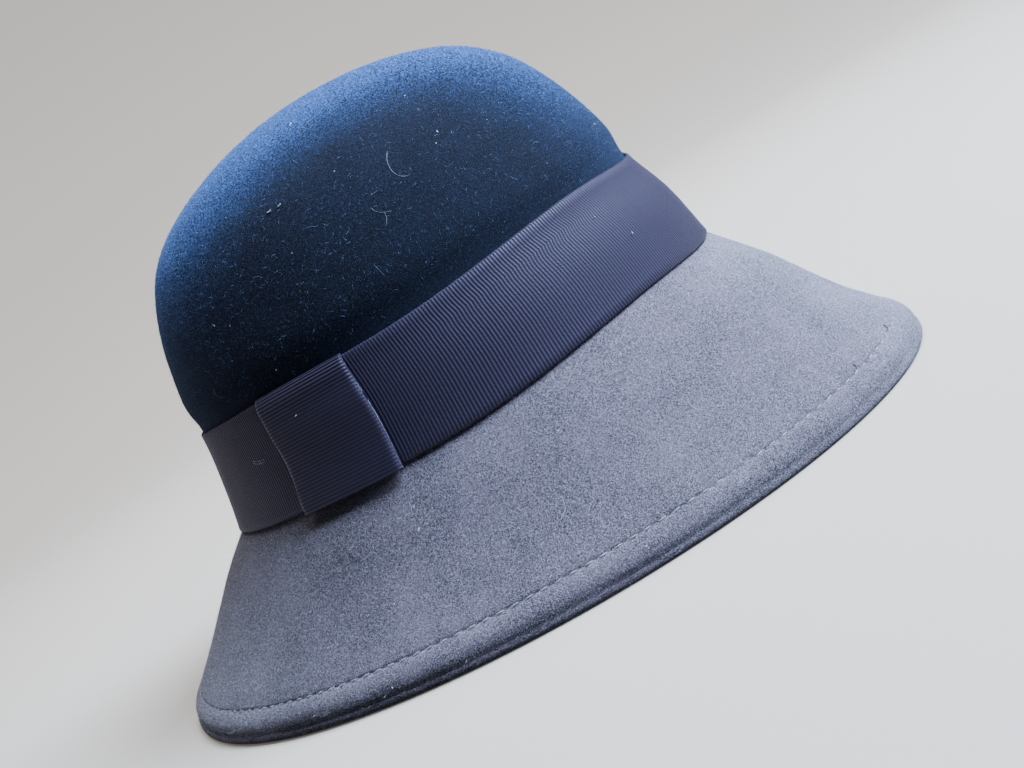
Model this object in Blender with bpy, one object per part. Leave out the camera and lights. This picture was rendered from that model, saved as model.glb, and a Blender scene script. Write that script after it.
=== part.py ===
"""A felt cloche hat: deep rounded crown, turned-down brim with a folded hem, ribbed ribbon with a keeper.

Metres, +Z up, +X to the hat's front and +Y to the wearer's left. The hat rests on its rim: z = 0 is the plane
under the rim, and the origin is in the middle of the rim's length and width. The felt of the crown and of the
brim meets edge to edge in a seam that the ribbon covers. The brim's edge is folded under, two felts thick.
"""
import math

import bmesh
import bpy
from mathutils import Matrix, Vector

# Felt, ribbon and the play between touching pieces
FELT = 0.0024
RIBBON = 0.0010
GAP = 0.0003

# Head line: the oval where the brim leaves the crown, on the outside of the felt
HEAD_LENGTH = 0.208
HEAD_WIDTH = 0.175
HEAD_EGG_SHARE = 0.02
HEAD_RISE = 0.0595
HEAD_FORWARD = 0.005
HEAD_TILT = math.radians(2.2)

# Crown, from the head line to its top, and the seam to the brim's collar
CROWN_HEIGHT = 0.118
SEAM_HEIGHT = 0.012

# Rim, over all, and its folded hem
RIM_LENGTH = 0.318
RIM_WIDTH = 0.239
RIM_EGG_SHARE = 0.09
HEM_THICKNESS = 0.0052
HEM_DEPTH = 0.0150
REST_WIDTH = 0.0025

# Ribbon band and its keeper, cut from the same ribbon
RIBBON_WIDTH = 0.038
RIBBON_LIFT = 0.0003
KEEPER_WIDTH = 0.040
KEEPER_ANGLE = math.radians(-97.5)
KEEPER_DROP = 0.0006

# How far out the keeper's fold goes at its corner, in thicknesses of the ribbon
FOLD_CORNER = 0.7

# The crown's outside: height as a share of the crown's, half length and half width as shares of the head
# line's, and how far the section lies forward as a share of the head line's length
CROWN_SECTIONS = (
    # height, length, width, forward
    (0.000, 1.000, 1.000, 0.000),
    (0.157, 0.960, 0.964, 0.006),
    (0.313, 0.911, 0.925, 0.001),
    (0.415, 0.908, 0.925, 0.001),
    (0.519, 0.879, 0.895, 0.001),
    (0.621, 0.839, 0.854, 0.000),
    (0.724, 0.780, 0.795, 0.000),
    (0.806, 0.707, 0.719, -0.001),
    (0.881, 0.591, 0.602, 0.000),
    (0.943, 0.416, 0.423, 0.001),
    (0.985, 0.208, 0.211, 0.001),
    (1.000, 0.000, 0.000, 0.001),
)

# How the ribbon and the head line under it rise and fall round the head, as shares of the ribbon's width
HEAD_WAVE = (
    # degrees from the front, rise
    (0, -0.020),
    (31, 0.030),
    (71, -0.034),
    (110, 0.018),
    (150, 0.000),
    (180, 0.000),
)

# How far the brim bows out of a straight line from the head line to the rim, in thicknesses of the felt
BRIM_BOW = (
    # share of the way out, at the front, at the sides, at the back
    (0.00, 0.00, 0.00, 0.00),
    (0.30, 0.25, 0.15, 0.60),
    (0.72, -0.35, 0.00, 0.20),
    (1.00, 0.00, 0.00, 0.00),
)

# Divisions round and along the surfaces, and the small step over which a surface's slope is read
SIDES = 72
NUDGE = 0.01
KEEPER_COLUMNS = 8
KEEPER_STRIDE = math.radians(0.25)
CROWN_STEPS = (1, 2, 3, 4, 5, 6, 6.5, 7, 7.5, 8, 8.5, 9, 9.5, 10, 10.5, 11)
CROWN_INNER_STEPS = (2, 4, 5, 6, 7, 8, 9, 10, 11)
BRIM_STEPS = (0.05, 0.15, 0.30, 0.45, 0.60, 0.75, 0.88)
RIBBON_STEPS = (0.0, 0.25, 0.5, 0.75, 1.0)

HEAD = Matrix.Translation((HEAD_FORWARD, 0, HEAD_RISE)) @ Matrix.Rotation(-HEAD_TILT, 4, "Y")
UP = Vector((0, 0, 1))
APEX = len(CROWN_SECTIONS) - 1


def eased(rows, key):
    """The values of a table at a key between its rows, with each row a crest, a trough or a level stretch."""
    for low, high in zip(rows, rows[1:]):
        if key <= high[0]:
            share = max(0.0, (key - low[0]) / (high[0] - low[0]))
            share = share * share * (3 - 2 * share)
            return [a + (b - a) * share for a, b in zip(low[1:], high[1:])]
    return list(rows[-1][1:])


def crown_row(step):
    """The crown's section at a step between its rows, on one smooth curve that passes level over the top."""
    last = CROWN_SECTIONS[APEX - 1]
    beyond = (last[0], -last[1], -last[2], last[3])
    before = [2 * a - b for a, b in zip(CROWN_SECTIONS[0], CROWN_SECTIONS[1])]
    rows = [before, *CROWN_SECTIONS, beyond]
    first = min(max(int(step), 0), APEX - 1)
    t = step - first
    values = []
    for a, b, c, d in zip(*rows[first:first + 4]):
        slope = (c - a) / 2
        bend = a - 2.5 * b + 2 * c - d / 2
        twist = 1.5 * (b - c) + (d - a) / 2
        values.append(b + slope * t + bend * t ** 2 + twist * t ** 3)
    return values


def crown_step(height):
    """The step of the crown's section at a height above the head line."""
    low, high = -0.5, float(APEX)
    for _ in range(40):
        middle = (low + high) / 2
        if crown_row(middle)[0] * CROWN_HEIGHT < height:
            low = middle
        else:
            high = middle
    return low


def felt_point(step, angle):
    """A point of the crown's outside, in the head line's frame."""
    height, length, width, forward = crown_row(step)
    x = HEAD_LENGTH * (length / 2 * math.cos(angle) + forward)
    y = HEAD_WIDTH / 2 * width * math.sin(angle) * (1 - HEAD_EGG_SHARE * math.cos(angle))
    return Vector((x, y, height * CROWN_HEIGHT))


def felt_normal(step, angle):
    if step > APEX - NUDGE:
        return UP
    along = felt_point(step + NUDGE, angle) - felt_point(step - NUDGE, angle)
    around = felt_point(step, angle + NUDGE) - felt_point(step, angle - NUDGE)
    return around.cross(along).normalized()


def off_felt(step, angle, distance):
    """A point that lies this far out of the crown's outside, or inside it where the distance is negative."""
    return felt_point(step, angle) + felt_normal(step, angle) * distance


def head_wave(angle):
    degrees = abs(math.degrees(math.remainder(angle, math.tau)))
    return eased(HEAD_WAVE, degrees)[0] * RIBBON_WIDTH


def ribbon_height():
    """How high the ribbon's top edge lies above its lower edge, because the ribbon leans with the crown."""
    reach = felt_point(0, 0).x - felt_point(crown_step(RIBBON_WIDTH), 0).x
    lean = math.atan2(reach, RIBBON_WIDTH)
    return RIBBON_WIDTH * math.cos(lean)


def crown_loop(angle):
    """The crown's wall at one angle: up the outside to the top, and down the inside."""
    foot = crown_step(SEAM_HEIGHT + GAP + head_wave(angle))
    outside = [off_felt(step, angle, 0) for step in (foot, *CROWN_STEPS)]
    inside = [off_felt(step, angle, -FELT) for step in (*reversed(CROWN_INNER_STEPS), foot)]
    return outside + inside


def ribbon_loop(angle):
    """The ribbon at one angle: up its outer face and down its inner face."""
    wave = head_wave(angle)
    steps = [crown_step(RIBBON_LIFT + wave + share * ribbon_height()) for share in RIBBON_STEPS]
    outer = [off_felt(step, angle, GAP + RIBBON) for step in steps]
    inner = [off_felt(step, angle, GAP) for step in reversed(steps)]
    return outer + inner


def keeper_loop(angle):
    """The keeper at one angle: down over the band's face, and folded over its top edge to the crown."""
    wave = head_wave(angle)
    bottom = RIBBON_LIFT - KEEPER_DROP + wave
    band_top = RIBBON_LIFT + wave + ribbon_height()
    face = 2 * GAP + RIBBON
    inner = [(face, bottom + share * (band_top - bottom)) for share in RIBBON_STEPS[:-1]]
    inner += [(face, band_top + GAP), (GAP, band_top + GAP)]
    fold = [(GAP, band_top + GAP + RIBBON), (face, band_top + GAP + RIBBON)]
    fold += [(face + RIBBON * FOLD_CORNER, band_top + GAP + RIBBON * FOLD_CORNER)]
    outer = [(face + RIBBON, bottom + share * (band_top - bottom)) for share in reversed(RIBBON_STEPS)]
    return [off_felt(crown_step(height), angle, distance) for distance, height in inner + fold + outer]


def keeper_angles():
    """The angles of the keeper's columns, stepped off along the band's middle to the keeper's width."""
    middle = crown_step(ribbon_height() / 2)
    angles = [KEEPER_ANGLE]
    for turn in (-1, 1):
        angle, run = KEEPER_ANGLE, 0.0
        here = off_felt(middle, angle, GAP + RIBBON)
        while run < KEEPER_WIDTH / 2:
            angle += turn * KEEPER_STRIDE
            there = off_felt(middle, angle, GAP + RIBBON)
            run += (there - here).length
            here = there
        angles.append(angle)
    low, high = min(angles), max(angles)
    return [low + (high - low) * column / KEEPER_COLUMNS for column in range(KEEPER_COLUMNS + 1)]


def rim_point(angle):
    """The middle of the hem's round edge, a little lower than its radius because the felt is pressed flat."""
    radius = HEM_THICKNESS / 2
    x = (RIM_LENGTH / 2 - radius) * math.cos(angle)
    y = (RIM_WIDTH / 2 - radius) * math.sin(angle) * (1 - RIM_EGG_SHARE * math.cos(angle))
    return Vector((x, y, math.sqrt(radius ** 2 - (REST_WIDTH / 2) ** 2)))


def rim_outward(angle):
    along = rim_point(angle + NUDGE) - rim_point(angle - NUDGE)
    return along.cross(UP).normalized()


def brim_bow(share, angle):
    """How far the brim bows out here: the table's front, side and back values blend round the hat."""
    front, side, back = eased(BRIM_BOW, share)
    ahead = math.cos(angle)
    end = front if ahead > 0 else back
    return (side + (end - side) * ahead ** 2) * FELT


def brim_loop(angle):
    """The brim's felt at one angle: from the collar down the outside, round the hem and back up the inside."""
    seam = crown_step(SEAM_HEIGHT + head_wave(angle))
    bend = crown_step(head_wave(angle))
    collar_top = HEAD @ off_felt(seam, angle, 0)
    collar_top_inside = HEAD @ off_felt(seam, angle, -FELT)
    head = HEAD @ off_felt(bend, angle, 0)
    collar_out = (HEAD.to_3x3() @ felt_normal(bend, angle)).normalized()

    radius = HEM_THICKNESS / 2
    middle = rim_point(angle)
    outward = rim_outward(angle)
    run = middle - head
    slope = math.atan2(-run.z, run.dot(outward))
    along = outward * math.cos(slope) - UP * math.sin(slope)
    over = outward * math.sin(slope) + UP * math.cos(slope)
    edge = middle + over * radius

    def surface(share, depth):
        return head.lerp(edge, share) + over * (brim_bow(share, angle) - depth)

    # The round edge turns from the top face to the under face, with a flat where it rests
    down = math.pi - slope
    half_flat = math.asin(REST_WIDTH / HEM_THICKNESS)
    turns = [(down - half_flat) * share for share in (0, 1 / 3, 2 / 3, 1)] + [down + half_flat, math.pi]
    round_edge = [middle + (over * math.cos(turn) + along * math.sin(turn)) * radius for turn in turns]

    hem_back = middle - along * (HEM_DEPTH - radius)
    hem_share = 1 - (HEM_DEPTH - radius) / (edge - head).length
    hem = [hem_back - over * radius, surface(hem_share, FELT)]
    mitre = (collar_out + over) * (FELT / (1 + collar_out.dot(over)))

    outside = [collar_top, head] + [surface(share, 0) for share in BRIM_STEPS]
    inside = [surface(share * hem_share, FELT) for share in reversed(BRIM_STEPS)]
    return outside + round_edge + hem + inside + [head - mitre, collar_top_inside]


def skin(name, stations):
    """A closed body over equally long loops of points, one a station. The last may repeat the first."""
    around = len(stations[0])
    bm = bmesh.new()
    bmesh.ops.create_grid(bm, x_segments=len(stations) - 1, y_segments=around, size=1)
    for vertex in bm.verts:
        column = round((vertex.co.x + 1) / 2 * (len(stations) - 1))
        row = round((vertex.co.y + 1) / 2 * around)
        vertex.co = stations[column][row % around]
    bmesh.ops.remove_doubles(bm, verts=bm.verts, dist=1e-6)
    bmesh.ops.holes_fill(bm, edges=[edge for edge in bm.edges if edge.is_boundary], sides=0)
    bmesh.ops.recalc_face_normals(bm, faces=bm.faces)
    mesh = bpy.data.meshes.new(name)
    bm.to_mesh(mesh)
    bm.free()
    mesh.shade_smooth()
    mesh.set_sharp_from_angle(angle=math.radians(40))
    piece = bpy.data.objects.new(name, mesh)
    bpy.context.scene.collection.objects.link(piece)
    return piece


def material(name, color, roughness):
    made = bpy.data.materials.new(name)
    made.use_nodes = True
    shader = made.node_tree.nodes["Principled BSDF"]
    shader.inputs["Base Color"].default_value = (*color, 1.0)
    shader.inputs["Roughness"].default_value = roughness
    shader.inputs["Metallic"].default_value = 0.0
    return made


def main():
    for thing in list(bpy.data.objects):
        bpy.data.objects.remove(thing)

    head_line = bpy.data.objects.new("head_line", None)
    head_line.location = (HEAD_FORWARD, 0, HEAD_RISE)
    head_line.rotation_euler = (0, -HEAD_TILT, 0)
    bpy.context.scene.collection.objects.link(head_line)

    angles = [math.tau * side / SIDES for side in range(SIDES)] + [0.0]
    navy_felt = material("navy_felt", (0.010, 0.020, 0.042), 0.95)
    taupe_felt = material("taupe_felt", (0.150, 0.145, 0.160), 0.95)
    grosgrain = material("grosgrain", (0.040, 0.042, 0.075), 0.60)

    crown = skin("crown", [crown_loop(angle) for angle in angles])
    band = skin("ribbon_band", [ribbon_loop(angle) for angle in angles])
    keeper = skin("ribbon_keeper", [keeper_loop(angle) for angle in keeper_angles()])
    brim = skin("brim", [brim_loop(angle) for angle in angles])
    for piece in (crown, band, keeper):
        piece.parent = head_line
    crown.data.materials.append(navy_felt)
    band.data.materials.append(grosgrain)
    keeper.data.materials.append(grosgrain)
    brim.data.materials.append(taupe_felt)


main()
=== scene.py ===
"""The looks of a felt cloche hat, laid out as an add-on.

Moulded wool felt with its nap, a grosgrain ribbon with a keeper, a machine-stitched hem, lint and stray
hairs, on a pale studio floor. Metres, +Z up, +X to the hat's front and +Y to the wearer's left, as in the
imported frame.
"""
import math
import random
from bisect import bisect_right
from functools import lru_cache

import bmesh
import bpy
import numpy as np
from bpy.props import FloatProperty, FloatVectorProperty, IntProperty, PointerProperty
from mathutils import Matrix, Vector, noise


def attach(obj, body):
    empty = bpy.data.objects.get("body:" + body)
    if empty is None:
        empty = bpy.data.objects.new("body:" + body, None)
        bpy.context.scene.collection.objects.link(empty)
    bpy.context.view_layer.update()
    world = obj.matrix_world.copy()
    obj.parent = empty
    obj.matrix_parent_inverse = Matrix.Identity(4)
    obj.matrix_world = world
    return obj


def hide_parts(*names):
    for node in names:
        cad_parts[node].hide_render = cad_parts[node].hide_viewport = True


bl_info = {
    "name": "Cloche Hat",
    "version": (1, 0, 0),
    "blender": (4, 5, 0),
    "location": "3D View > Sidebar > Hat",
    "description": "Dresses the cloche hat's solids with felt, ribbon, stitches and lint",
    "category": "Object",
}

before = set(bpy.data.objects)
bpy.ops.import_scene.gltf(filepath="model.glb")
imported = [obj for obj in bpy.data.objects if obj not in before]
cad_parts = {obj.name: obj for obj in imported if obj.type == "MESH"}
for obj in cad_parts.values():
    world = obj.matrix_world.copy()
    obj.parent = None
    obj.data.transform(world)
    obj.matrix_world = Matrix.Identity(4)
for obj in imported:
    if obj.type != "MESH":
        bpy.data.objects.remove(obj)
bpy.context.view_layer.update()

# Felt, ribbon and the play between touching pieces
FELT = 0.0024
RIBBON = 0.0010
GAP = 0.0003

# Head line: the oval where the brim leaves the crown, on the outside of the felt
HEAD_LENGTH = 0.208
HEAD_WIDTH = 0.175
HEAD_EGG_SHARE = 0.02
HEAD_RISE = 0.0595
HEAD_FORWARD = 0.005
HEAD_TILT = math.radians(2.2)
CROWN_HEIGHT = 0.118
SEAM_HEIGHT = 0.012

# Rim, over all, and its folded hem
RIM_LENGTH = 0.318
RIM_WIDTH = 0.239
RIM_EGG_SHARE = 0.09
HEM_THICKNESS = 0.0052
HEM_DEPTH = 0.0150
REST_WIDTH = 0.0025

# Ribbon band and its keeper
RIBBON_WIDTH = 0.038
RIBBON_LIFT = 0.0003
KEEPER_WIDTH = 0.040
KEEPER_ANGLE = math.radians(-97.5)
KEEPER_DROP = 0.0006

CROWN_SECTIONS = (
    # height, length, width, forward
    (0.000, 1.000, 1.000, 0.000),
    (0.157, 0.960, 0.964, 0.006),
    (0.313, 0.911, 0.925, 0.001),
    (0.415, 0.908, 0.925, 0.001),
    (0.519, 0.879, 0.895, 0.001),
    (0.621, 0.839, 0.854, 0.000),
    (0.724, 0.780, 0.795, 0.000),
    (0.806, 0.707, 0.719, -0.001),
    (0.881, 0.591, 0.602, 0.000),
    (0.943, 0.416, 0.423, 0.001),
    (0.985, 0.208, 0.211, 0.001),
    (1.000, 0.000, 0.000, 0.001),
)
HEAD_WAVE = (
    # degrees from the front, rise in widths of the ribbon
    (0, -0.020),
    (31, 0.030),
    (71, -0.034),
    (110, 0.018),
    (150, 0.000),
    (180, 0.000),
)
BRIM_BOW = (
    # share of the way out, at the front, at the sides, at the back, in thicknesses of the felt
    (0.00, 0.00, 0.00, 0.00),
    (0.30, 0.25, 0.15, 0.60),
    (0.72, -0.35, 0.00, 0.20),
    (1.00, 0.00, 0.00, 0.00),
)
RIB_PUCKERS = (
    # degrees from the front, half width in degrees, sway
    (-38, 12, 1.00),
    (-63, 8, 0.35),
    (30, 13, 0.90),
    (76, 10, -0.55),
    (148, 14, 0.60),
    (-150, 11, 0.40),
)
FOLD_DROP = 0.0056
KEEPER_STAND = (
    # share of the way down the keeper's face, how far it stands off the band in thicknesses of the ribbon
    (0.00, 0.7),
    (0.25, 0.9),
    (0.60, 0.5),
    (1.00, 1.2),
)
KEEPER_RIBS = (
    # share of the way up the band, how much of their height the keeper's ribs keep
    (0.00, 0.50),
    (0.25, 0.40),
    (0.72, 0.40),
    (0.90, 2.00),
)

# Stray hairs and thread ends. Runs are heights above the head line, or insets from the rim on the brim.
STRAYS = (
    # on, degrees from the front, run mm, length mm, heading degrees, turns it bends, radius mm, shade
    ("crown", -55, 81.0, 13.0, 225, 0.42, 0.032, "pale"),
    ("crown", -62, 65.0, 7.0, 165, -0.22, 0.024, "pale"),
    ("crown", -65, 62.0, 5.0, 40, 0.18, 0.030, "pale"),
    ("crown", -119, 50.0, 6.0, 250, 0.42, 0.030, "pale"),
    ("crown", -82, 85.5, 1.5, 10, 0.05, 0.170, "pale"),
    ("crown", -85, 86.0, 1.8, 350, 0.08, 0.180, "pale"),
    ("crown", -70, 106.0, 1.0, 40, 0.00, 0.150, "pale"),
    ("crown", -100, 44.0, 0.8, 20, 0.00, 0.130, "pale"),
    ("band", -29, 28.0, 0.6, 80, 0.00, 0.110, "pale"),
    ("band", -25, 17.0, 0.9, 70, 0.05, 0.140, "pale"),
    ("band", -119, 22.5, 8.0, 345, 0.05, 0.045, "pale"),
    ("band", -119, 21.8, 6.5, 338, 0.08, 0.040, "pale"),
    ("band", -117, 21.0, 4.5, 350, 0.04, 0.035, "pale"),
    ("keeper", -100, 28.0, 0.8, 20, 0.00, 0.140, "pale"),
    ("brim", -9, 11.0, 3.4, 250, -0.30, 0.170, "dark"),
    ("brim", -24, 9.5, 2.8, 20, 0.35, 0.120, "dark"),
    ("brim", -22, 9.0, 3.0, 340, -0.40, 0.120, "dark"),
    ("brim", -12, 14.0, 1.2, 30, 0.00, 0.180, "pale"),
    ("brim", -69, 24.0, 7.0, 20, 0.25, 0.045, "pale"),
    ("brim", -87, 42.0, 1.1, 60, 0.00, 0.180, "pale"),
    ("brim", -45, 30.0, 6.0, 120, -0.30, 0.045, "pale"),
)
STRAY_FIELDS = (
    # on, how many, run mm from, run mm to
    ("crown", 90, 44.0, 116.0),
    ("brim", 90, 4.0, 56.0),
)
FINE_HAIR = 0.000024

# How far the brim hollows between head line and rim at its sides
BRIM_FLARE = 0.0013

# The machine stitches, inward of the middle of the hem's round edge
STITCH_INSET = 0.0087
GROOVE_HALF_WIDTH = 0.00055

# How far the hem's face rounds off towards its edge, and over what width
HEM_DROOP = 0.0009
HEM_DROOP_RUN = 0.0046

# Divisions of the fine surfaces
CROWN_COLUMNS = 320
CROWN_ROWS = 110
BRIM_COLUMNS = 720
BRIM_ROWS = 34
HEM_ROWS = (
    # insets in millimetres from the middle of the round edge
    18, 16.5, 15.4, 14.6, 13.4, 12.2, 11.1, 10.3, 9.7, 9.3, 9.0,
    8.7, 8.4, 8.1, 7.7, 7.1, 6.2, 5.0, 3.8, 2.6, 1.5, 0.6,
)
# Shares of the way up the band's face
BAND_ROWS = (0.0, 0.06, 0.2, 0.38, 0.55, 0.66, 0.72, 0.76, 0.8, 0.84, 0.88, 0.93, 1.0)
RIB_COLUMNS = 5
KEEPER_COLUMNS = 44
NUDGE = 0.01

# Unevenness of felt that was shaped by hand, as (size of a wave, its height)
CROWN_WAVES = ((0.030, 0.00035), (0.009, 0.00012))
BRIM_WAVES = ((0.028, 0.00040), (0.008, 0.00012))

# The hem's single layer lies this much lower than its double one
HEM_STEP = 0.00012

# Half a stitch's width, half its height and how deep its ends sink
STITCH_HALF_WIDTH = 0.00019
STITCH_HALF_HEIGHT = 0.00015
STITCH_SINK = 0.00045

# A flake of lint, and how far a stray hair lifts off the felt
LINT_RADIUS = 0.00022
STRAY_LIFT = 0.0003

# The share of its colour that the floor throws back on the hat, as if it were flagged off
FLOOR_BOUNCE = 0.07

# The faint light of its own that keeps the far side of the backdrop from going black
FLOOR_GLOW = 0.22

# The camera, in the hat's frame, from a fit to the photograph
CAMERA_DISTANCE = 0.44075
CAMERA_AIM = Vector((0.01987, 0.0, 0.04888))
CAMERA_AZIMUTH = math.radians(22.9)
CAMERA_ELEVATION = math.radians(9.71)
CAMERA_ROLL = math.radians(31.68)
CAMERA_LENS = 41.26
CAMERA_SENSOR = 36.0

HEAD = Matrix.Translation((HEAD_FORWARD, 0, HEAD_RISE)) @ Matrix.Rotation(-HEAD_TILT, 4, "Y")
UP = Vector((0, 0, 1))
APEX = len(CROWN_SECTIONS) - 1

# The floor, a round dish whose wall is the backdrop
FLOOR_RADIUS = 3.2
FLOOR_FILLET = 2.0
BACKDROP_HEIGHT = 4.5
FLOOR_DROP = 0.0002

# Light from all round, and the soft lights
ROOM_COLOR = (0.75, 0.82, 1.0, 1)
ROOM_STRENGTH = 0.05
LIGHT_AIM = Vector((0.0, 0.0, 0.08))
AWAY = Vector((-math.sin(CAMERA_AZIMUTH), math.cos(CAMERA_AZIMUTH), 0.0))
LIGHTS = (
    # name, place, aim, size, power, colour
    ("window_light", Vector((0.90, 0.04, 1.08)), LIGHT_AIM, 0.7, 94.0, (0.66, 0.80, 1.0)),
    ("room_fill", Vector((-1.25, -0.10, 0.20)), LIGHT_AIM, 0.8, 1.25, (1.0, 0.84, 0.68)),
    ("backdrop_light", AWAY * 0.5 + UP * 1.7, AWAY * 2.7 + UP * 0.2, 1.5, 75.0, (0.96, 0.96, 1.0)),
)


def length_property(name, description, default, low, high):
    return FloatProperty(
        name=name, description=description, default=default, min=low, max=high, unit="LENGTH", precision=5)


class HatSizes(bpy.types.PropertyGroup):
    rib_pitch: length_property("Rib pitch", "From one rib of the ribbon to the next", 0.00115, 0.0006, 0.003)
    rib_height: length_property("Rib height", "How far a rib stands out of its groove", 0.0002, 0.0, 0.0006)
    rib_sway: length_property(
        "Rib sway", "How far the ribs shift sideways where the ribbon is eased in at its top edge",
        0.0013, 0.0, 0.004)
    nap_length: length_property(
        "Nap length", "Length that the felt's loose fibres are worked out from", 0.0014, 0.0004, 0.004)
    nap_count: IntProperty(
        name="Nap fibres", description="Short loose fibres on each piece of felt",
        default=44000, min=1000, max=49000)
    stitch_pitch: length_property(
        "Stitch pitch", "From one stitch of the hem to the next", 0.0050, 0.003, 0.01)
    stitch_length: length_property("Stitch length", "Thread that shows in each stitch", 0.0028, 0.002, 0.009)
    groove_depth: length_property(
        "Stitch groove", "How deep the thread pulls the felt in", 0.00045, 0.0, 0.001)
    hem_puff: length_property(
        "Hem puff", "How far the folded hem swells beyond the stitches", 0.00055, 0.0, 0.001)
    lint_count: IntProperty(
        name="Lint", description="Specks of lint on each piece of felt", default=150, min=0, max=600)


def color_property(name, description, default):
    return FloatVectorProperty(
        name=name, description=description, subtype="COLOR", size=3, min=0.0, max=1.0, default=default)


class HatColors(bpy.types.PropertyGroup):
    crown: color_property("Crown felt", "Body colour of the crown's felt", (0.0048, 0.0078, 0.0185))
    crown_fibre: color_property("Crown fibres", "Pale fibre tips of the crown's felt", (0.026, 0.046, 0.104))
    brim: color_property("Brim felt", "Body colour of the brim's felt", (0.146, 0.123, 0.166))
    brim_deep: color_property("Brim hollows", "Dark flecks of the brim's felt", (0.032, 0.028, 0.038))
    brim_fibre: color_property("Brim fibres", "Pale fibre tips of the brim's felt", (0.580, 0.575, 0.700))
    ribbon: color_property("Ribbon", "Ribs of the ribbon", (0.0240, 0.0205, 0.0490))
    # Painted shade: the dark colour of the grooves between the ribs
    ribbon_groove_shade: color_property("Ribbon grooves", "Grooves between the ribs", (0.0026, 0.0026, 0.0058))
    thread: color_property("Thread", "Stitches of the hem", (0.400, 0.410, 0.470))
    lint: color_property("Lint", "Specks and stray hairs", (0.640, 0.710, 0.820))
    floor: color_property("Floor", "Studio floor and backdrop", (0.500, 0.460, 0.410))


def eased(rows, key):
    """The values of a table at a key between its rows, with each row a crest, a trough or a level stretch."""
    for low, high in zip(rows, rows[1:]):
        if key <= high[0]:
            share = max(0.0, (key - low[0]) / (high[0] - low[0]))
            share = share * share * (3 - 2 * share)
            return [a + (b - a) * share for a, b in zip(low[1:], high[1:])]
    return list(rows[-1][1:])


def smooth(low, high, value):
    share = min(max((value - low) / (high - low), 0.0), 1.0)
    return share * share * (3 - 2 * share)


def guided_rows():
    """The crown's sections with one more at each end, so that the curve passes level over the top."""
    last = CROWN_SECTIONS[APEX - 1]
    beyond = (last[0], -last[1], -last[2], last[3])
    before = [2 * a - b for a, b in zip(CROWN_SECTIONS[0], CROWN_SECTIONS[1])]
    return [before, *CROWN_SECTIONS, beyond]


GUIDED_ROWS = guided_rows()


@lru_cache(maxsize=None)
def crown_row(step):
    """The crown's section at a step between its rows, on one smooth curve."""
    first = min(max(int(step), 0), APEX - 1)
    t = step - first
    values = []
    for a, b, c, d in zip(*GUIDED_ROWS[first:first + 4]):
        slope = (c - a) / 2
        bend = a - 2.5 * b + 2 * c - d / 2
        twist = 1.5 * (b - c) + (d - a) / 2
        values.append(b + slope * t + bend * t ** 2 + twist * t ** 3)
    return values


FINE_STEPS = [0.01 * count - 0.5 for count in range(int((APEX + 0.5) * 100) + 1)]
FINE_HEIGHTS = [crown_row(step)[0] * CROWN_HEIGHT for step in FINE_STEPS]


def crown_step(height):
    """The step of the crown's section at a height above the head line."""
    place = min(max(bisect_right(FINE_HEIGHTS, height), 1), len(FINE_STEPS) - 1)
    low, high = FINE_HEIGHTS[place - 1], FINE_HEIGHTS[place]
    share = (height - low) / max(high - low, 1e-12)
    return FINE_STEPS[place - 1] + share * (FINE_STEPS[place] - FINE_STEPS[place - 1])


def felt_point(step, angle):
    """A point of the crown's outside, in the head line's frame."""
    height, length, width, forward = crown_row(step)
    x = HEAD_LENGTH * (length / 2 * math.cos(angle) + forward)
    y = HEAD_WIDTH / 2 * width * math.sin(angle) * (1 - HEAD_EGG_SHARE * math.cos(angle))
    return Vector((x, y, height * CROWN_HEIGHT))


def felt_normal(step, angle):
    if step > APEX - NUDGE:
        return UP
    along = felt_point(step + NUDGE, angle) - felt_point(step - NUDGE, angle)
    around = felt_point(step, angle + NUDGE) - felt_point(step, angle - NUDGE)
    return around.cross(along).normalized()


def off_felt(step, angle, distance):
    """A point of the hat this far out of the crown's outside, or inside it where the distance is negative."""
    return HEAD @ (felt_point(step, angle) + felt_normal(step, angle) * distance)


def head_wave(angle):
    degrees = abs(math.degrees(math.remainder(angle, math.tau)))
    return eased(HEAD_WAVE, degrees)[0] * RIBBON_WIDTH


def ribbon_height():
    """How high the ribbon's top edge lies above its lower edge, because the ribbon leans with the crown."""
    reach = felt_point(0, 0).x - felt_point(crown_step(RIBBON_WIDTH), 0).x
    return RIBBON_WIDTH * math.cos(math.atan2(reach, RIBBON_WIDTH))


BAND_HEIGHT = ribbon_height()


def rim_point(angle):
    """The middle of the hem's round edge, a little lower than its radius because the felt is pressed flat."""
    radius = HEM_THICKNESS / 2
    x = (RIM_LENGTH / 2 - radius) * math.cos(angle)
    y = (RIM_WIDTH / 2 - radius) * math.sin(angle) * (1 - RIM_EGG_SHARE * math.cos(angle))
    return Vector((x, y, math.sqrt(radius ** 2 - (REST_WIDTH / 2) ** 2)))


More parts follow.
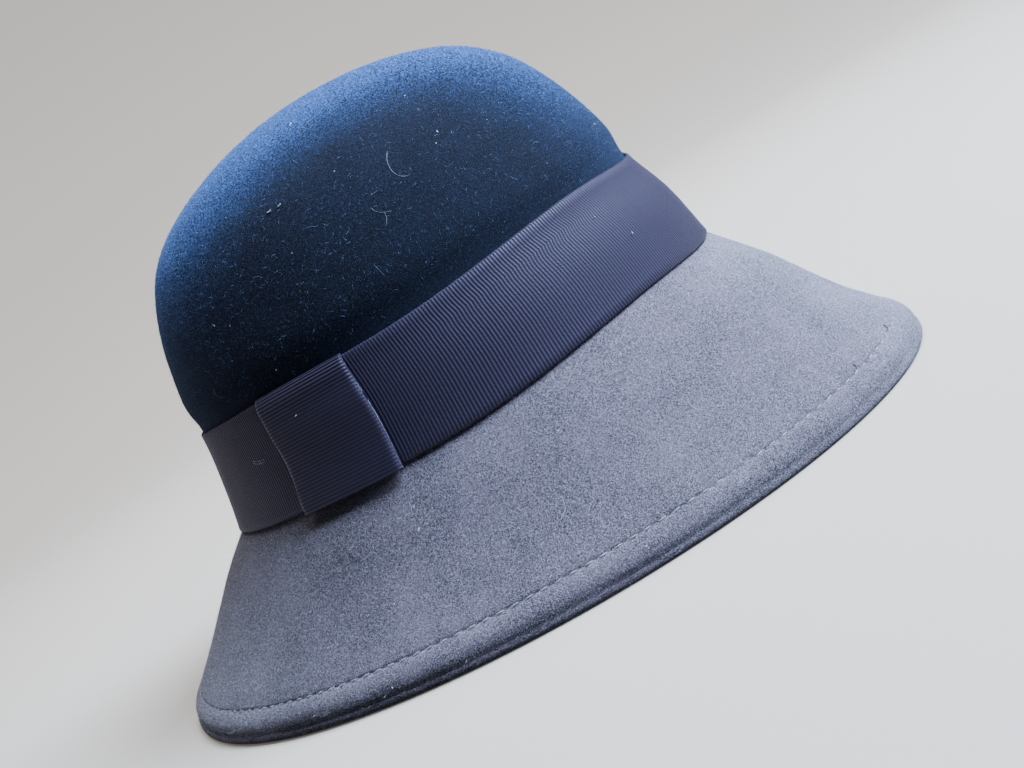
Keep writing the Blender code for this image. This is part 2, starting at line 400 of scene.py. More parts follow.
class BrimSection:
    """The brim's felt at one angle round the hat."""

    def __init__(self, angle):
        seam = crown_step(SEAM_HEIGHT + head_wave(angle))
        bend = crown_step(head_wave(angle))
        self.collar_top = off_felt(seam, angle, 0)
        self.collar_top_inside = off_felt(seam, angle, -FELT)
        self.head = off_felt(bend, angle, 0)
        collar_out = (HEAD.to_3x3() @ felt_normal(bend, angle)).normalized()
        self.radius = HEM_THICKNESS / 2
        self.middle = rim_point(angle)
        around = rim_point(angle + NUDGE) - rim_point(angle - NUDGE)
        outward = around.cross(UP).normalized()
        run = self.middle - self.head
        self.slope = math.atan2(-run.z, run.dot(outward))
        self.along = outward * math.cos(self.slope) - UP * math.sin(self.slope)
        self.over = outward * math.sin(self.slope) + UP * math.cos(self.slope)
        self.edge = self.middle + self.over * self.radius
        self.length = (self.edge - self.head).length
        self.mitre = (collar_out + self.over) * (FELT / (1 + collar_out.dot(self.over)))
        ahead = math.cos(angle)
        self.end = 0 if ahead > 0 else 2
        self.end_share = ahead ** 2

    def bow(self, share):
        row = eased(BRIM_BOW, share)
        return (row[1] + (row[self.end] - row[1]) * self.end_share) * FELT

    def surface(self, share, out=0.0):
        """A point of the brim, this far out of its upper face, a share of the way from head line to edge."""
        return self.head.lerp(self.edge, share) + self.over * (self.bow(share) + out)

    def share_at(self, inset):
        """The share at a distance inward of the middle of the round edge."""
        return 1 - inset / self.length


@lru_cache(maxsize=None)
def brim_section(angle):
    return BrimSection(angle)


def stitch_runs():
    """How far along the line of stitches each of many angles lies."""
    angles = [math.tau * count / BRIM_COLUMNS for count in range(BRIM_COLUMNS + 1)]
    points = []
    for angle in angles:
        section = brim_section(angle)
        points.append(section.surface(section.share_at(STITCH_INSET)))
    runs = [0.0]
    for here, there in zip(points, points[1:]):
        runs.append(runs[-1] + (there - here).length)
    return angles, runs


STITCH_ANGLES, STITCH_RUNS = stitch_runs()


def stitch_total():
    """How many whole stitches go round the hem."""
    return round(STITCH_RUNS[-1] / bpy.context.scene.hat_sizes.stitch_pitch)


def stitch_phase(angle):
    """How many stitches the hem has had by this angle, with a fraction."""
    return float(np.interp(angle, STITCH_ANGLES, STITCH_RUNS)) / STITCH_RUNS[-1] * stitch_total()


def angle_of_phase(phase):
    run = phase / stitch_total() * STITCH_RUNS[-1]
    return float(np.interp(run, STITCH_RUNS, STITCH_ANGLES))


def hem_relief(inset, phase):
    """How far the brim's face lies out at an inset from its edge: puffed hem, then the stitches' groove."""
    sizes = bpy.context.scene.hat_sizes
    puff = 0.0
    if 0.0 < inset < STITCH_INSET:
        puff = sizes.hem_puff * math.sin(math.pi * inset / STITCH_INSET) ** 0.8
    puff -= HEM_DROOP * max(0.0, 1 - inset / HEM_DROOP_RUN) ** 2
    pull = 0.62 + 0.38 * math.cos(math.tau * phase)
    groove = sizes.groove_depth * pull * math.exp(-((inset - STITCH_INSET) / GROOVE_HALF_WIDTH) ** 2)
    double = smooth(HEM_DEPTH + 0.001, HEM_DEPTH - 0.001, inset) if inset > STITCH_INSET else 1.0
    return puff - groove + HEM_STEP * double


def hand_relief(point, size, height):
    """The gentle unevenness of felt that was shaped by hand."""
    return noise.noise(point / size) * height


def wrapped(columns, rows, place, across=1.0, along=1.0):
    """A closed skin. Columns run round the hat or along a piece, and rows run round the wall's section."""
    bm = bmesh.new()
    uv = bm.loops.layers.uv.new("UVMap")
    bmesh.ops.create_grid(bm, x_segments=columns, y_segments=rows, size=1, calc_uvs=True)
    for face in bm.faces:
        for loop in face.loops:
            loop[uv].uv = (loop[uv].uv.x * across, loop[uv].uv.y * along)
    for vertex in bm.verts:
        column = round((vertex.co.x + 1) / 2 * columns)
        row = round((vertex.co.y + 1) / 2 * rows)
        vertex.co = place(column, row % rows)
    bmesh.ops.remove_doubles(bm, verts=bm.verts, dist=1e-7)
    open_edges = [edge for edge in bm.edges if edge.is_boundary]
    if open_edges:
        bmesh.ops.holes_fill(bm, edges=open_edges, sides=0)
    bmesh.ops.recalc_face_normals(bm, faces=bm.faces)
    return bm


def in_scene(name, mesh, material):
    """A smooth object of this mesh and material, linked to the scene."""
    mesh.shade_smooth()
    mesh.materials.append(material)
    made = bpy.data.objects.new(name, mesh)
    bpy.context.scene.collection.objects.link(made)
    return made


def piece(name, bm, material, replaces=()):
    """Puts a finished shape in the scene as a piece that rides on the hat."""
    mesh = bpy.data.meshes.new(name)
    bm.to_mesh(mesh)
    bm.free()
    made = in_scene(name, mesh, material)
    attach(made, "root")
    if replaces:
        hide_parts(*replaces)
    return made


def joined_copies(name, shapes, places, material):
    """One mesh of many small copies. Each place is the number of a shape and the copy's matrix."""
    points, faces, count = [], [], 0
    for number, bm in enumerate(shapes):
        bmesh.ops.triangulate(bm, faces=bm.faces)
        bm.verts.ensure_lookup_table()
        corners = np.array([vertex.co[:] for vertex in bm.verts])
        triangles = np.array([[vertex.index for vertex in face.verts] for face in bm.faces])
        bm.free()
        mine = [matrix for shape, matrix in places if shape == number]
        if not mine:
            continue
        matrices = np.array(mine)
        turned = np.einsum("nij,kj->nki", matrices[:, :3, :3], corners) + matrices[:, None, :3, 3]
        points.append(turned.reshape(-1, 3))
        starts = count + np.arange(len(mine)) * len(corners)
        faces.append((triangles[None] + starts[:, None, None]).reshape(-1, 3))
        count += len(mine) * len(corners)
    mesh = bpy.data.meshes.new(name)
    mesh.from_pydata(np.concatenate(points), [], np.concatenate(faces))
    made = in_scene(name, mesh, material)
    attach(made, "root")


def standing_at(x, y, z, point):
    """The matrix of these three axes at a point."""
    rows = [[column[axis] for column in (x, y, z, point)] for axis in range(3)]
    return Matrix((*rows, (0, 0, 0, 1)))


def frame_on(point, normal, along):
    """A matrix that stands a small shape on a surface, its X along and its Z out."""
    z = normal.normalized()
    x = (along - z * along.dot(z)).normalized()
    return standing_at(x, z.cross(x), z, point)


def fill_node(tree, kind, inputs=(), **settings):
    """A new node with its settings, and with each input set to a value or joined to another node's output."""
    node = tree.nodes.new(kind)
    for key, value in settings.items():
        setattr(node, key, value)
    for key, value in dict(inputs).items():
        if isinstance(value, bpy.types.NodeSocket):
            tree.links.new(value, node.inputs[key])
        else:
            node.inputs[key].default_value = value
    return node


def math_node(tree, operation, *values):
    return fill_node(tree, "ShaderNodeMath", enumerate(values), operation=operation).outputs[0]


def ramp(tree, value, low, high):
    """A smooth mask that is 0 below low and 1 above high."""
    inputs = {"Value": value, "From Min": low, "From Max": high}
    return fill_node(tree, "ShaderNodeMapRange", inputs, interpolation_type="SMOOTHSTEP").outputs["Result"]


def mixed(tree, share, first, second):
    inputs = {0: share, 6: first, 7: second}
    return fill_node(tree, "ShaderNodeMix", inputs, data_type="RGBA").outputs[2]


def noise_node(tree, vector, scale, **inputs):
    values = {"Vector": vector, "Scale": scale, **{key.capitalize(): value for key, value in inputs.items()}}
    return fill_node(tree, "ShaderNodeTexNoise", values).outputs["Fac"]


def new_group(name, inputs, outputs):
    """An empty node group with named sockets, as (tree, its inputs, its output node)."""
    tree = bpy.data.node_groups.new(name, "ShaderNodeTree")
    for title, kind, default in inputs:
        socket = tree.interface.new_socket(title, in_out="INPUT", socket_type=kind)
        if default is not None:
            socket.default_value = default
    for title, kind in outputs:
        tree.interface.new_socket(title, in_out="OUTPUT", socket_type=kind)
    return tree, tree.nodes.new("NodeGroupInput").outputs, tree.nodes.new("NodeGroupOutput")


def wool_group():
    """Wool felt: clumps and flecks of fibre as a colour, a roughness and a height."""
    if "wool_felt" in bpy.data.node_groups:
        return bpy.data.node_groups["wool_felt"]
    tree, given, out = new_group("wool_felt", (
        ("Place", "NodeSocketVector", None),
        ("Deep", "NodeSocketColor", (0, 0, 0, 1)),
        ("Body", "NodeSocketColor", (0.2, 0.2, 0.2, 1)),
        ("Fibre", "NodeSocketColor", (0.5, 0.5, 0.5, 1)),
        ("Clump", "NodeSocketFloat", 0.0011),
        ("Fibre Share", "NodeSocketFloat", 0.5),
    ), (("Color", "NodeSocketColor"), ("Roughness", "NodeSocketFloat"), ("Height", "NodeSocketFloat")))
    per_metre = math_node(tree, "DIVIDE", 1.0, given["Clump"])

    def clumped(finer, **inputs):
        return noise_node(tree, given["Place"], math_node(tree, "MULTIPLY", per_metre, finer), **inputs)

    clumps = clumped(1.0, detail=4.0, roughness=0.72)
    fine = clumped(2.6, detail=1.0)
    curls = clumped(0.6, detail=1.0, distortion=0.8)
    patches = clumped(0.9, detail=1.0)
    broad = noise_node(tree, given["Place"], 60.0, detail=2.0, roughness=0.5)
    off_line = math_node(tree, "ABSOLUTE", math_node(tree, "SUBTRACT", curls, 0.5))
    lines = math_node(tree, "SUBTRACT", 1.0, ramp(tree, off_line, 0.0, 0.045))
    curly = math_node(tree, "MULTIPLY", lines, ramp(tree, patches, 0.46, 0.62))
    faint = math_node(tree, "MULTIPLY", curly, 0.6)
    fibres = math_node(tree, "MAXIMUM", faint, ramp(tree, fine, 0.55, 0.70))
    worn = math_node(tree, "MULTIPLY", math_node(tree, "SUBTRACT", broad, 0.5), 0.25)
    full = ramp(tree, math_node(tree, "ADD", clumps, worn), 0.38, 0.60)
    body = mixed(tree, full, given["Deep"], given["Body"])
    color = mixed(tree, math_node(tree, "MULTIPLY", fibres, given["Fibre Share"]), body, given["Fibre"])
    height = math_node(
        tree, "ADD", math_node(tree, "MULTIPLY", clumps, 0.7), math_node(tree, "MULTIPLY", fibres, 0.3))
    roughness = math_node(tree, "ADD", 0.82, math_node(tree, "MULTIPLY", clumps, 0.18))
    tree.links.new(color, out.inputs["Color"])
    tree.links.new(roughness, out.inputs["Roughness"])
    tree.links.new(height, out.inputs["Height"])
    return tree


def new_material(name, **sockets):
    """A material whose Principled BSDF has these constants, as (material, tree, shader)."""
    material = bpy.data.materials.new(name)
    material.use_nodes = True
    tree = material.node_tree
    shader = tree.nodes["Principled BSDF"]
    for key, value in sockets.items():
        shader.inputs[key.replace("_", " ")].default_value = value
    return material, tree, shader


def felt_material(name, deep, body, fibre, edge, clump, share, bump, sheen, tint, sheen_heights):
    """Felt with a painted sheen: where the surface turns away from the eye, its colour is mixed towards a
    pale edge colour on the felt's grain.

    The painted sheen is full above one height and falls to a share of it below another: (low, high, share).
    """
    material, tree, shader = new_material(
        name, Sheen_Weight=sheen, Sheen_Roughness=0.45, Sheen_Tint=(*tint, 1), Specular_IOR_Level=0.15)
    place = fill_node(tree, "ShaderNodeTexCoord").outputs["Object"]
    wool = fill_node(tree, "ShaderNodeGroup", {
        "Place": place, "Deep": (*deep, 1), "Body": (*body, 1), "Fibre": (*fibre, 1), "Clump": clump,
        "Fibre Share": share,
    }, node_tree=wool_group())
    bump_node = fill_node(
        tree, "ShaderNodeBump", {"Height": wool.outputs["Height"], "Strength": bump, "Distance": 0.0003})
    facing = fill_node(tree, "ShaderNodeLayerWeight", {"Blend": 0.5}).outputs["Facing"]
    grain = ramp(tree, wool.outputs["Height"], 0.33, 0.50)
    # Heights of the painted sheen: full above high, and only a share (pressed) of it below low
    low, high, pressed = sheen_heights
    height = fill_node(tree, "ShaderNodeSeparateXYZ", {"Vector": place}).outputs["Z"]
    # Painted sheen: full on the upper part of the piece, a share of it lower down
    raised = math_node(tree, "MULTIPLY", ramp(tree, height, low, high), 1 - pressed)
    # The painted sheen falls on the grain's raised specks
    tips = math_node(tree, "MULTIPLY", grain, math_node(tree, "ADD", raised, pressed))
    painted_sheen_mask = math_node(tree, "MULTIPLY", ramp(tree, facing, 0.18, 1.0), tips)
    # The edge colour is painted sheen, mixed over the felt's own colour where the eye looks along the surface
    tree.links.new(mixed(tree, painted_sheen_mask, wool.outputs["Color"], (*edge, 1)), shader.inputs["Base Color"])
    tree.links.new(wool.outputs["Roughness"], shader.inputs["Roughness"])
    tree.links.new(bump_node.outputs["Normal"], shader.inputs["Normal"])
    return material


def navy_felt():
    colors = bpy.context.scene.hat_colors
    # The edge colour is a painted blue sheen along the crown's outline, full on the upper crown
    return bpy.data.materials.get("navy_felt_nap_painted_sheen") or felt_material(
        "navy_felt_nap_painted_sheen", [value * 0.35 for value in colors.crown], colors.crown, colors.crown_fibre,
        edge=(0.080, 0.235, 0.700), clump=0.00075, share=0.60, bump=1.0, sheen=0.06, tint=(0.30, 0.46, 1.0),
        sheen_heights=(0.105, 0.160, 0.16))


def taupe_felt():
    """The brim's felt, whose painted sheen stays at its lower share everywhere, because no part of it is a
    metre high.
    """
    colors = bpy.context.scene.hat_colors
    # The edge colour is a pale painted sheen where the brim turns away from the eye
    return bpy.data.materials.get("taupe_felt_nap_painted_sheen") or felt_material(
        "taupe_felt_nap_painted_sheen", colors.brim_deep, colors.brim, colors.brim_fibre,
        edge=(0.58, 0.61, 0.74), clump=0.00055, share=0.80, bump=1.2, sheen=0.10, tint=(0.66, 0.82, 1.0),
        sheen_heights=(1.0, 2.0, 0.6))


def ribbon_material():
    """Grosgrain: pale ribs and grooves darkened with painted shade, following the ribbon's own UV, which runs
    in metres.
    """
    found = bpy.data.materials.get("grosgrain_ribs")
    if found:
        return found
    scene = bpy.context.scene
    material, tree, shader = new_material(
        "grosgrain_ribs", Sheen_Weight=0.3, Sheen_Roughness=0.30, Sheen_Tint=(0.68, 0.64, 1.0, 1),
        Specular_Tint=(0.74, 0.70, 1.0, 1), Specular_IOR_Level=0.48)
    uv = fill_node(tree, "ShaderNodeUVMap", uv_map="UVMap").outputs["UV"]
    split = fill_node(tree, "ShaderNodeSeparateXYZ", {"Vector": uv})
    place = fill_node(tree, "ShaderNodeTexCoord").outputs["Object"]
    turn = math_node(tree, "MULTIPLY", split.outputs["X"], math.pi / scene.hat_sizes.rib_pitch)
    rib = math_node(tree, "ABSOLUTE", math_node(tree, "SINE", turn))
    threads = noise_node(tree, place, 2600.0, detail=2.0, roughness=0.6)
    broad = noise_node(tree, place, 38.0, detail=3.0, roughness=0.6)
    crest = math_node(tree, "ADD", ramp(tree, rib, 0.35, 1.0), math_node(tree, "SUBTRACT", threads, 0.5))
    # The grooves' colour is painted shade between the ribs
    color = mixed(tree, crest, (*scene.hat_colors.ribbon_groove_shade, 1), (*scene.hat_colors.ribbon, 1))
    shade = ramp(tree, broad, 0.25, 0.8)
    darker = [value * 0.62 for value in scene.hat_colors.ribbon]
    color = mixed(tree, math_node(tree, "MULTIPLY", shade, 0.35), color, (*darker, 1))
    bump = fill_node(tree, "ShaderNodeBump", {"Height": threads, "Strength": 0.35, "Distance": 0.0003})
    tree.links.new(color, shader.inputs["Base Color"])
    dull = math_node(tree, "MULTIPLY", math_node(tree, "SUBTRACT", 1.0, rib), 0.4)
    silky = math_node(tree, "ADD", 0.40, math_node(tree, "MULTIPLY", threads, 0.2))
    roughness = math_node(tree, "ADD", silky, dull)
    tree.links.new(roughness, shader.inputs["Roughness"])
    tree.links.new(bump.outputs["Normal"], shader.inputs["Normal"])
    return material


def fibre_material(name, color, roughness):
    """Thread, lint and loose fibres, a little lighter and darker from place to place."""
    found = bpy.data.materials.get(name)
    if found:
        return found
    material, tree, shader = new_material(name, Sheen_Weight=0.3, Sheen_Roughness=0.4, Roughness=roughness)
    place = fill_node(tree, "ShaderNodeTexCoord").outputs["Object"]
    speck = ramp(tree, noise_node(tree, place, 900.0, detail=1.0, roughness=0.5), 0.35, 0.65)
    dark = [value * 0.65 for value in color]
    tree.links.new(mixed(tree, speck, (*dark, 1), (*color, 1)), shader.inputs["Base Color"])
    return material


def even_steps(low, high, count):
    """Steps up the crown's side that lie about as far apart on the felt as each other."""
    fine = [low + (high - low) * number / 600 for number in range(601)]
    points = [felt_point(step, 0) for step in fine]
    runs = [0.0]
    for here, there in zip(points, points[1:]):
        runs.append(runs[-1] + (there - here).length)
    wanted = np.linspace(0, runs[-1], count + 1)
    return [float(step) for step in np.interp(wanted, runs, fine)]


def build_crown():
    """The crown's felt: a moulded dome, a little uneven, with its wall's true thickness."""
    inner_rows = 40

    def wall(angle):
        wave = head_wave(angle)
        foot = crown_step(SEAM_HEIGHT + GAP + wave)
        rows = [(step, 0.0) for step in even_steps(foot, APEX, CROWN_ROWS)]
        return rows + [(step, -FELT) for step in reversed(even_steps(foot, APEX, inner_rows))]

    shared = {}

    def place(column, row):
        angle = math.tau * (column % CROWN_COLUMNS) / CROWN_COLUMNS
        key = round(head_wave(angle), 6)
        if key not in shared:
            shared[key] = wall(angle)
        step, depth = shared[key][row]
        if depth == 0.0:
            band_top = crown_step(RIBBON_LIFT + head_wave(angle) + BAND_HEIGHT)
            free = smooth(band_top + 0.1, band_top + 0.9, step)
            point = felt_point(step, angle)
            depth = free * sum(hand_relief(point, *wave) for wave in CROWN_WAVES)
        return off_felt(step, angle, depth)

    rows = CROWN_ROWS + inner_rows + 2
    bm = wrapped(CROWN_COLUMNS, rows, place)
    return piece("felt_crown", bm, navy_felt(), replaces=("crown",))


def brim_rows(angle):
    """The points round the brim's felt at one angle: upper face, round edge, hem and under face."""
    section = brim_section(angle)
    phase = stitch_phase(angle)
    points = [section.collar_top, section.head]
    wide = section.share_at(HEM_ROWS[0] / 1000)
    shares = [wide * count / BRIM_ROWS for count in range(1, BRIM_ROWS)]
    shares += [section.share_at(millimetres / 1000) for millimetres in HEM_ROWS]
    flare = BRIM_FLARE * math.sin(angle) ** 2
    for share in shares:
        inset = (1 - share) * section.length
        free = smooth(0.04, 0.3, share)
        relief = hem_relief(inset, phase) * free
        for wave in BRIM_WAVES:
            relief += free * hand_relief(section.surface(share), *wave)
        relief -= flare * math.sin(math.pi * share) ** 2
        points.append(section.surface(share, relief))
    down = math.pi - section.slope
    half_flat = math.asin(REST_WIDTH / HEM_THICKNESS)
    turns = [(down - half_flat) * count / 9 for count in range(10)]
    turns += [down + half_flat * (count / 2 - 1) for count in range(1, 5)]
    turns += [down + half_flat + (math.pi - down - half_flat) * count / 3 for count in range(1, 4)]
    for turn in turns:
        rise = section.radius - (HEM_DROOP if turn < math.pi / 2 else 0.0)
        way = section.over * math.cos(turn) * rise + section.along * math.sin(turn) * section.radius
        points.append(section.middle + way)
    reach = HEM_DEPTH - section.radius
    for count in range(1, 7):
        inset = reach * count / 6
        pull = hem_relief(inset, phase) if inset > 0.002 else 0.0
        under = section.middle - section.along * inset - section.over * section.radius
        points.append(under - section.over * min(pull, 0.0))
    hem_share = 1 - reach / section.length
    for count in range(28):
        share = hem_share * (1 - count / 28)
        points.append(section.surface(share, -FELT - flare * math.sin(math.pi * share) ** 2))
    points += [section.head - section.mitre, section.collar_top_inside]
    return points


def build_brim():
    """The brim's felt, with its hem folded under and pulled in by the stitches."""
    @lru_cache(maxsize=None)
    def rows_at(column):
        return brim_rows(math.tau * column / BRIM_COLUMNS)

    def place(column, row):
        return rows_at(column % BRIM_COLUMNS)[row]

    bm = wrapped(BRIM_COLUMNS, len(rows_at(0)), place)
    return piece("felt_brim", bm, taupe_felt(), replaces=("brim",))


def rib_out(run, pitch):
    """How far out a rib's round back stands at this distance along the ribbon, from 0 to 1."""
    return abs(math.sin(math.pi * run / pitch)) ** 0.7


def band_girth():
    """The band's length round the hat, along its middle."""
    middle = crown_step(BAND_HEIGHT / 2)
    points = [off_felt(middle, math.tau * count / 360, GAP + RIBBON) for count in range(361)]
    return sum((there - here).length for here, there in zip(points, points[1:]))


def pucker(angle, share):
    """How far the ribs sway here, as a share of the most: aside and back a little below the top edge."""
    across = math.exp(-((share - 0.80) / 0.055) ** 2) + 0.55 * smooth(0.74, 0.90, share)
    total = 0.0
    for degrees, width, sway in RIB_PUCKERS:
        apart = math.degrees(math.remainder(angle - math.radians(degrees), math.tau))
        total += sway * math.exp(-(apart / width) ** 2)
    return total * across


def build_band():
    """The ribbon round the head line: rounded ribs across it, swaying where its top edge is eased in."""
    sizes = bpy.context.scene.hat_sizes
    girth = band_girth()
    ribs = round(girth / sizes.rib_pitch)
    columns = ribs * RIB_COLUMNS
    radius = girth / math.tau
    faces = [(0.0, 0.1), (-0.012, 0.5)]
    faces += [(share, 1.0) for share in BAND_ROWS]
    faces += [(1.012, 0.5), (1.0, 0.1), (0.7, 0.1), (0.35, 0.1)]

    def place(column, row):
        share, layer = faces[row]
        angle = math.tau * column / columns
        rib = rib_out(column % RIB_COLUMNS, RIB_COLUMNS)
        wander = noise.noise(Vector((7 * math.cos(angle), 7 * math.sin(angle), 3 * share)))
        turned = angle + (sizes.rib_sway * pucker(angle, share) + 0.00018 * wander) / radius
        wave = head_wave(angle)
        height = RIBBON_LIFT + wave + share * BAND_HEIGHT
        if layer == 0.5:
            height += math.copysign(0.00018 * rib, share - 0.5)
        out = GAP + RIBBON * 0.8 * layer
        if layer == 1.0:
            out += sizes.rib_height * (rib - 0.4)
            out += 0.00022 * noise.noise(Vector((5 * math.cos(angle), 5 * math.sin(angle), 2 * share)))
            out += 0.00025 * smooth(0.12, 0.0, share)
        return off_felt(crown_step(height), turned, out)

    bm = wrapped(columns, len(faces), place, across=ribs * sizes.rib_pitch, along=2 * RIBBON_WIDTH)
    band = piece("ribbon_round_head", bm, ribbon_material(), replaces=("ribbon_band",))


def keeper_ends():
    """The angles of the keeper's two edges, stepped off along the band's middle."""
    middle = crown_step(BAND_HEIGHT / 2)
    ends = []
    for turn in (-1, 1):
        angle, run = KEEPER_ANGLE, 0.0
        here = off_felt(middle, angle, GAP + RIBBON)
        while run < KEEPER_WIDTH / 2:
            angle += turn * math.radians(0.25)
            there = off_felt(middle, angle, GAP + RIBBON)
            run += (there - here).length
            here = there
        ends.append(angle)
    return ends


def keeper_path(count):
    """The keeper's outer face as (distance out, height above the band's lower edge), from the crown down."""
    face = 2 * GAP + 2 * RIBBON + KEEPER_STAND[0][1] * RIBBON
    low = -KEEPER_DROP - 0.0012
    top = BAND_HEIGHT + GAP + RIBBON - FOLD_DROP
    points = []
    for number in range(30):
        turn = math.pi / 2 * number / 30
        points.append((GAP + (face - GAP) * math.sin(turn), top + FOLD_DROP * math.cos(turn)))
    for number in range(count + 1):
        share = number / count
        stand = (eased(KEEPER_STAND, share)[0] - KEEPER_STAND[0][1]) * RIBBON
        points.append((face + stand, top + (low - top) * share))
    return points


def build_keeper():
    """The keeper: the same ribbon turned a quarter, its ribs running with the band, folded over its top."""
    sizes = bpy.context.scene.hat_sizes
    low_angle, high_angle = keeper_ends()
    fine = keeper_path(400)
    runs = [0.0]
    for here, there in zip(fine, fine[1:]):
        runs.append(runs[-1] + math.dist(here, there))
    ribs = round(runs[-1] / sizes.rib_pitch)
    outer_rows = ribs * RIB_COLUMNS
    wanted = np.linspace(0, runs[-1], outer_rows + 1)
    outs = np.interp(wanted, runs, [point[0] for point in fine])
    heights = np.interp(wanted, runs, [point[1] for point in fine])
    rows = []
    for number in range(outer_rows + 1):
        rib = rib_out(number % RIB_COLUMNS, RIB_COLUMNS) - 0.4
        rib *= sizes.rib_height * eased(KEEPER_RIBS, heights[number] / BAND_HEIGHT)[0]
        rows.append((float(outs[number]) + rib, float(heights[number])))
    back = 14
    for number in range(back, -1, -1):
        share = number / back
        outer = int(share * outer_rows)
        out = max(float(outs[outer]) - RIBBON * 0.9, GAP * 0.5)
        rows.append((out, float(heights[outer]) - 0.0006 * (1 - share)))

    def place(column, row):
        share = column / KEEPER_COLUMNS
        out, height = rows[row]
        level = height / BAND_HEIGHT
        angle = low_angle + (high_angle - low_angle) * share
        edge = 1 - smooth(0.0, 0.03, min(share, 1 - share))
        out -= 0.00025 * edge * (out - GAP) / RIBBON
        out += 0.0003 * noise.noise(Vector((share * 2.0, level * 2.4, 0.7))) * smooth(0.95, 0.7, level)
        crease = math.exp(-((level - 0.42) / 0.20) ** 2) * (1 - share)
        angle += crease * 0.0007 / (HEAD_WIDTH / 2)
        if row <= outer_rows and column in (0, KEEPER_COLUMNS):
            loop = rib_out(row % RIB_COLUMNS, RIB_COLUMNS)
            angle += math.copysign(0.00015 * loop, share - 0.5) / (HEAD_WIDTH / 2)
        return off_felt(crown_step(height + RIBBON_LIFT + head_wave(angle)), angle, max(out, GAP))

    bm = wrapped(KEEPER_COLUMNS, len(rows), place)
    uv = bm.loops.layers.uv.active
    per_row = sizes.rib_pitch / RIB_COLUMNS
    for face in bm.faces:
        for loop in face.loops:
            across = loop[uv].uv.y * len(rows) * per_row
            loop[uv].uv = (across, loop[uv].uv.x * KEEPER_WIDTH)
    keeper = piece("ribbon_keeper_loop", bm, ribbon_material(), replaces=("ribbon_keeper",))


def bent_fibres(length, thickness, bends):
    """Single fibres of the nap, each a thin three-sided spike that is straight or bent its own way."""
    shapes = []
    for bend in bends:
        bm = bmesh.new()
        bmesh.ops.create_cone(bm, cap_ends=True, segments=3, radius1=thickness, radius2=0, depth=length)
        sides = [edge for edge in bm.edges if abs(edge.verts[0].co.z - edge.verts[1].co.z) > length / 2]
        if bend:
            bmesh.ops.subdivide_edges(bm, edges=sides, cuts=1)
        for vertex in bm.verts:
            share = vertex.co.z / length + 0.5
            vertex.co.z = share * length * (1 - 0.3 * abs(bend) * share)
            vertex.co.x += bend * length * share ** 2
        bmesh.ops.remove_doubles(bm, verts=bm.verts, dist=thickness * 0.02)
        bmesh.ops.recalc_face_normals(bm, faces=bm.faces)
        shapes.append(bm)
    return shapes


def nap_places(source, draw, count, kinds, keep):
    """Random places on a piece's outer felt, each with a matrix that leans a fibre out of the surface."""
    mesh = source.data
    faces = [face for face in mesh.polygons if keep(face.center, face.normal)]
    areas = np.array([face.area for face in faces])
    chosen = np.random.default_rng(draw.randrange(10 ** 6)).choice(len(faces), count, p=areas / areas.sum())
    places = []
    for number in chosen:
        face = faces[number]
        corners = [mesh.vertices[index].co for index in face.vertices]
        a, b = draw.random(), draw.random()
        point = corners[0].lerp(corners[1], a).lerp(corners[-1].lerp(corners[-2], a), b)
        normal = face.normal
        turn = draw.uniform(0, math.tau)
        side = normal.orthogonal().normalized()
        side = Matrix.Rotation(turn, 3, normal) @ side
        lean = draw.uniform(0.6, 1.5)
        out = (normal * math.cos(lean) + side * math.sin(lean)).normalized()
        matrix = frame_on(point - normal * 0.00008, out, normal + side * 0.3)
        size = draw.uniform(0.35, 1.0)
        places.append((draw.randrange(kinds), matrix @ Matrix.Diagonal((size ** 0.5, size ** 0.5, size, 1))))
    return places


def build_nap(name, source, seed, material, pale, keep):
    """The loose fibres that stand out of a piece of felt."""
    sizes = bpy.context.scene.hat_sizes
    draw = random.Random(seed)
    shapes = bent_fibres(sizes.nap_length * 0.75, 0.000048, (0,))
    places = nap_places(source, draw, sizes.nap_count, 1, keep)
    joined_copies(name, shapes, places, material)
    shapes = bent_fibres(sizes.nap_length * 1.9, 0.000036, (-0.55, -0.25, 0.2, 0.45, 0.7))
    places = nap_places(source, draw, sizes.nap_count // 8, 5, keep)
    joined_copies(f"{name}_long", shapes, places, pale)


def lint_specks(name, source, seed, material, keep):
    """Specks of lint: small pressed flakes that lie on the felt."""
    draw = random.Random(seed)
    bm = bmesh.new()
    bmesh.ops.create_icosphere(bm, subdivisions=1, radius=LINT_RADIUS)
    for vertex in bm.verts:
        vertex.co *= 1 + 0.5 * noise.noise(vertex.co * 9000)
    mesh = source.data
    faces = [face for face in mesh.polygons if keep(face.center, face.normal)]
    places = []
    for _ in range(bpy.context.scene.hat_sizes.lint_count):
        face = draw.choice(faces)
        turn = Matrix.Rotation(draw.uniform(0, math.tau), 4, "Z")
        size = draw.uniform(0.5, 1.0) ** 2
        squash = Matrix.Diagonal((size * draw.uniform(0.8, 2.4), size, size * 0.5, 1))
        base = frame_on(face.center + face.normal * 0.0001, face.normal, face.normal.orthogonal())
        places.append((0, base @ turn @ squash))
    joined_copies(name, [bm], places, material)


